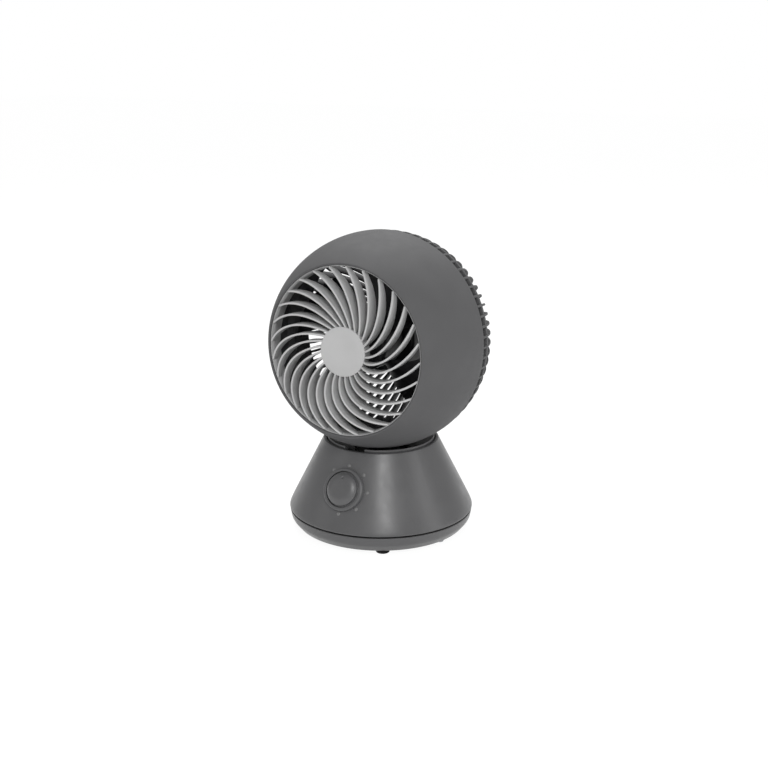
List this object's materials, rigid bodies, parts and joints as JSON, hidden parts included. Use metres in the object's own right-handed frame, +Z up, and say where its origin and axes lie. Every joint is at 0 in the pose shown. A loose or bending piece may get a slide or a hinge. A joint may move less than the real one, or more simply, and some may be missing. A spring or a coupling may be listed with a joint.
{
  "type": "air circulator fan",
  "caption": "Desk air circulator fan: globe head with a swirled front grille and a slatted back, tilting and swinging on a cone base with a front speed dial.",
  "frame": {"origin": "on the floor, at the middle of the base", "axes": "+Z up; the air leaves towards -Y; +X is to the right seen from the front"},
  "size_m": [0.2096, 0.1846, 0.294],
  "materials": {
    "case_grey": "matte moulded plastic",
    "grille_grey": "satin moulded plastic",
    "blade_black": "satin moulded plastic",
    "frame_black": "matte moulded plastic",
    "rubber_black": "matte rubber",
    "steel": "plated sheet and bar",
    "bronze": "sintered bronze bushes",
    "copper": null,
    "natural_plastic": "natural acetal",
    "board_green": "circuit board laminate"
  },
  "bodies": {
    "base": {"base_cone": "case_grey", "base_tray": "case_grey", "deck": "frame_black", "pan_washer": "natural_plastic", "ballast_plate": "steel", "board_carrier": "frame_black", "control_board": "board_green", "swing_motor": "steel", "dial_bezel": "case_grey", "rotary_switch": "frame_black", "cord_gland": "rubber_black", "foot_1": "rubber_black", "foot_2": "rubber_black", "foot_3": "rubber_black", "foot_4": "rubber_black", "tray_screw_1": "steel", "tray_screw_2": "steel", "tray_screw_3": "steel"},
    "turntable": {"neck_dish": "case_grey", "tilt_saddle": "frame_black", "turntable_gear": "natural_plastic", "stem_nut": "steel"},
    "head": {"front_shell": "case_grey", "front_grille": "grille_grey", "hub_disc": "grille_grey", "rear_grille": "case_grey", "rear_cap": "case_grey", "motor_pedestal": "frame_black", "motor_front_can": "steel", "motor_rear_can": "steel", "front_bush": "bronze", "rear_bush": "bronze", "stator_core": "steel", "front_coil": "copper", "rear_coil": "copper", "tilt_runner": "frame_black"},
    "rotor": {"impeller": "blade_black", "motor_shaft": "steel", "rotor_core": "steel", "spinner_nut": "blade_black"},
    "pinion": {"swing_pinion": "natural_plastic"},
    "knob": {"speed_knob": "case_grey"}
  },
  "joints": [
    {"name": "pan", "type": "hinge", "parent": "base", "child": "turntable", "pos_m": [0, 0, 0.067], "axis": [0, 0, 1], "range_deg": [-40, 40]},
    {"name": "pinion_spin", "type": "hinge", "parent": "base", "child": "pinion", "pos_m": [0, 0.0375, 0.0565], "axis": [0, 0, 1], "range_deg": [-162, 162]},
    {"name": "tilt", "type": "hinge", "parent": "turntable", "child": "head", "pos_m": [0, 0, 0.189], "axis": [-1, 0, 0], "range_deg": [-9, 18]},
    {"name": "impeller_spin", "type": "hinge", "parent": "head", "child": "rotor", "pos_m": [0, 0, 0.189], "axis": [0, -0.999, 0.0454], "continuous": true},
    {"name": "knob_turn", "type": "hinge", "parent": "base", "child": "knob", "pos_m": [0, -0.07305, 0.0578], "axis": [0, 0.8922, -0.4516], "range_deg": [-45, 180]}
  ],
  "couplings": [
    {"joint": "pinion_spin", "follows": "pan", "ratio": -4}
  ]
}
